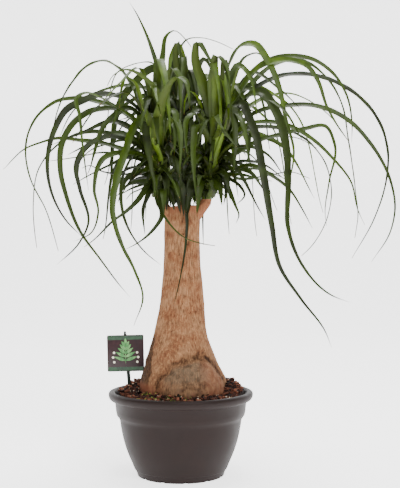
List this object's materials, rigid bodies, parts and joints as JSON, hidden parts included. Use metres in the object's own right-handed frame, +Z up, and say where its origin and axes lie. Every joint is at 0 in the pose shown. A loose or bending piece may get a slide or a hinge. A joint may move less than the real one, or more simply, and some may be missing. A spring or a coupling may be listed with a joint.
{
  "type": "potted ponytail palm",
  "caption": "Ponytail palm with a swollen sawn trunk and leafy heads of long arching strap leaves, in a round plastic bowl pot of bark soil with a plant label on a stake.",
  "frame": {"origin": "middle of the pot's flat base, on the surface it stands on", "axes": "+Z up along the trunk, front of the plant towards -Y, +X to the viewer's right"},
  "size_m": [0.72, 0.5715, 0.9013],
  "materials": {
    "pot_plastic": "satin moulded polypropylene, dark taupe grey",
    "bark_soil": "loose pine bark compost with black peat and pale perlite",
    "trunk_bark": "dry corky bark with fine upright cracks",
    "leaf": "tough green strap leaves with a soft waxy sheen",
    "label_print": "printed plastic card, maroon and green",
    "stake_plastic": "moulded plastic, dark green-black"
  },
  "bodies": {
    "root": {"pot": "pot_plastic", "soil": "bark_soil", "trunk": "trunk_bark", "head_left": "leaf", "head_right": "leaf", "head_back": "leaf", "label_card": "label_print", "label_stake": "stake_plastic"}
  },
  "joints": []
}
